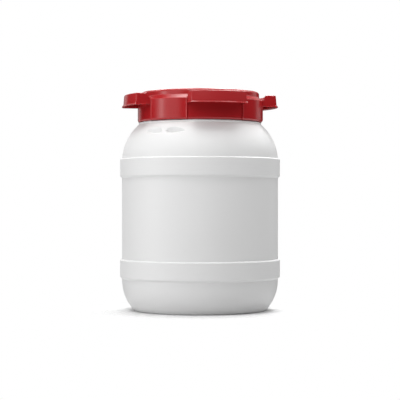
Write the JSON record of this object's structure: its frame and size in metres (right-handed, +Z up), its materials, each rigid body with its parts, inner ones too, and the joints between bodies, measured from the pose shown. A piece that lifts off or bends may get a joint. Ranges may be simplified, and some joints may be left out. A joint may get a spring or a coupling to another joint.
{
  "type": "wide-neck plastic drum with screw lid",
  "caption": "Round white plastic drum with raised bands, rounded shoulder and a wide screw neck, closed by a red screw lid with grip lugs.",
  "frame": {"origin": "middle of the face the drum stands on", "axes": "+Z up along the drum's axis; two of the lid's grip lugs lie along X and two along Y when the lid is shut; the seal eye is between -X and -Y"},
  "size_m": [0.203, 0.203, 0.276],
  "materials": {
    "drum_plastic": "satin white polyethylene",
    "lid_plastic": "satin red polypropylene",
    "seal_rubber": "matt dark sealing rubber"
  },
  "bodies": {
    "drum": {"drum_body": "drum_plastic"},
    "gasket_carrier": {"lid_gasket": "seal_rubber"},
    "lid": {"screw_lid": "lid_plastic"}
  },
  "joints": [
    {"name": "lid_rise", "type": "slide", "parent": "drum", "child": "gasket_carrier", "axis": [0, 0, 1], "range_m": [0, 0.0351]},
    {"name": "lid_turn", "type": "hinge", "parent": "gasket_carrier", "child": "lid", "pos_m": [0, 0, 0.25], "axis": [0, 0, 1], "range_deg": [0, 1260]}
  ],
  "couplings": [
    {"joint": "lid_rise", "follows": "lid_turn", "m_per_rad": 0.0015915}
  ]
}
